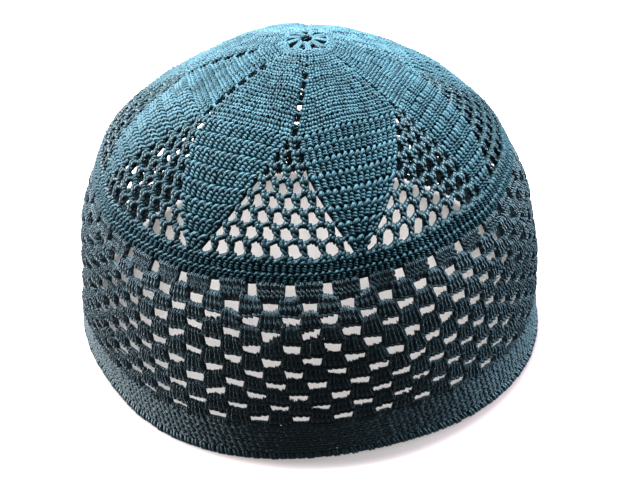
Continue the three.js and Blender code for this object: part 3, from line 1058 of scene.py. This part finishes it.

# %% Each piece gets its finish and its body, and the solid it stands for is hidden
FINISHES = [
    (rosette, crown_yarn, "crown_yarn", "crown_rosette"),
    (crown_rounds, crown_yarn, "crown_yarn", "crown_petals"),
    (petals, crown_yarn, "crown_yarn", "crown_petals"),
    (band, crown_yarn, "crown_yarn", "crown_band"),
    *[(piece, side_yarn, "side_yarn", "lace_side") for piece in lace],
    (lower_band, side_yarn, "side_yarn", "lower_band"),
    (edging, edging_yarn, "edging_yarn", "twisted_edging"),
    (rim_cord, edging_yarn, "edging_yarn", "twisted_edging"),
    *[(piece, gore_yarn, "gore_yarn", f"mesh_gore_{k + 1}") for k, piece in enumerate(gores)],
]
for piece, material, slot, node in FINISHES:
    piece.data.materials.append(material)
    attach(piece, "root")
    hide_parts(node)
print("pieces", len(FINISHES))

# %% [markdown]
# ## Floor and light
#
# The photograph is a bright studio shot: the floor burns out to white, and the cap's front falls
# into a deep shade. So wide soft lamps stand above and behind and at both sides, and diffuse rays
# don't see the floor. A real shadow wouldn't show on so white a floor, so its material holds the
# light inside the cap and the pink shade round the rim.

# %% Floor and backdrop
FLOOR_HALF = 6.0  # m
FLOOR_BASE = (0.40, 0.35, 0.355, 1)  # a little pink, which shows in a shadow only
# The floor inside the cap: middle and half widths of its ellipse in m, its base, and its glow
INSIDE_BACK, INSIDE_HALF = 0.005, (0.088, 0.094)
INSIDE_ENDS = 1.06  # share of the half widths over which its edge is soft
INSIDE_BASE, INSIDE_WHITE, INSIDE_GLOW = (0.32, 0.30, 0.29, 1), (1, 0.965, 0.95, 1), 0.40
EDGE_SHARE, EDGE_GLOW = 0.5, 0.12  # share of its half width where the glow starts to fade to this
# The floor round the cap turns to plain white between two distances from a point, in m
SHADE_MIDDLE, SHADE_EDGE = (0.004, -0.003, 0), (0.0868, 0.0918)
SHADE_GLOW = (0.44, 0.31, 0.34, 1)
BACKDROP_RADIUS, BACKDROP_HEIGHT, BACKDROP_SIDES = FLOOR_HALF * 0.98, 8, 64
WORLD_COLOUR, WORLD_STRENGTH = (1, 0.92, 0.90, 1), 0.15


def matt(name):
    """A matt material that gives off its own light."""
    material = bpy.data.materials.new(name)
    material.use_nodes = True
    values = {
        "Base Color": FLOOR_BASE, "Roughness": 0.9, "Specular IOR Level": 0.0,
        "Emission Color": (1, 1, 1, 1), "Emission Strength": 1.0,
    }
    for key, value in values.items():
        material.node_tree.nodes["Principled BSDF"].inputs[key].default_value = value
    return material


backdrop_matt = matt("backdrop")
floor_matt = matt("floor")
shader = floor_matt.node_tree.nodes["Principled BSDF"]
any_value = Socket(floor_matt.node_tree, None)
place = any_value.make("TexCoord", output=3)


def length_of(shift, per_unit=(1, 1, 1)):
    """The length of the place, times a scale and plus a shift."""
    moved = any_value.make(
        "VectorMath", {0: place, 1: per_unit, 2: shift}, {"operation": "MULTIPLY_ADD"}
    )
    return any_value.make("VectorMath", {0: moved}, {"operation": "LENGTH"}, output=1)


per_half = (1 / INSIDE_HALF[0], 1 / INSIDE_HALF[1], 0)
halves = length_of((0, -INSIDE_BACK / INSIDE_HALF[1], 0), per_half)
inside = halves.stepped(1.0, INSIDE_ENDS, 1.0, 0.0)
sideways = length_of((0, 0, 0), (per_half[0], 0, 0))
near_edge = sideways.stepped(EDGE_SHARE, 1.0, INSIDE_GLOW, EDGE_GLOW)
away = length_of([-v for v in SHADE_MIDDLE])
outside = away.stepped(*SHADE_EDGE, 0.0, 1.0).mix(SHADE_GLOW, (1, 1, 1, 1))
glow_colour = inside.mix(outside, near_edge.mix((0, 0, 0, 1), INSIDE_WHITE))
base_colour = inside.mix(FLOOR_BASE, INSIDE_BASE)
floor_matt.node_tree.links.new(glow_colour.link, shader.inputs["Emission Color"])
floor_matt.node_tree.links.new(base_colour.link, shader.inputs["Base Color"])

bm = bmesh.new()
bmesh.ops.create_grid(bm, x_segments=1, y_segments=1, size=FLOOR_HALF)
floor_mesh = bpy.data.meshes.new("floor")
bm.to_mesh(floor_mesh)
bm.clear()
bmesh.ops.create_cone(
    bm, cap_ends=False, segments=BACKDROP_SIDES, depth=BACKDROP_HEIGHT,
    radius1=BACKDROP_RADIUS, radius2=BACKDROP_RADIUS,
)
backdrop_mesh = bpy.data.meshes.new("backdrop")
bm.to_mesh(backdrop_mesh)
bm.free()
for mesh, material in ((floor_mesh, floor_matt), (backdrop_mesh, backdrop_matt)):
    piece = placed(mesh.name, mesh)
    mesh.materials.append(material)
    piece.visible_diffuse = False
    piece.visible_glossy = False


# %% Lights
def lamp(name, place, aim, size, power, colour=(1, 1, 1)):
    """A flat square lamp that looks at a point: places and size in m, power in W."""
    light = bpy.data.lights.new(name, "AREA")
    light.shape = "RECTANGLE"
    light.size = light.size_y = size
    light.energy = power
    light.color = colour
    direction = Vector(aim) - Vector(place)
    turned = direction.to_track_quat("-Z", "Y").to_matrix().to_4x4()
    placed(name, light).matrix_world = Matrix.Translation(place) @ turned


lamp("light_top", (-0.08, 0.30, 0.92), (0, 0, 0.08), 0.5, 44)
lamp("light_left", (-0.95, 0.30, 0.34), (0, 0, 0.05), 0.7, 36, (1, 0.93, 0.90))
lamp("light_right", (0.93, 0.34, 0.44), (0, 0, 0.05), 0.7, 27, (0.72, 0.90, 1))

world = bpy.data.worlds.new("world")
scene.world = world
world.use_nodes = True
sky = world.node_tree.nodes["Background"].inputs
sky["Color"].default_value, sky["Strength"].default_value = WORLD_COLOUR, WORLD_STRENGTH
scene.view_settings.view_transform = "Standard"
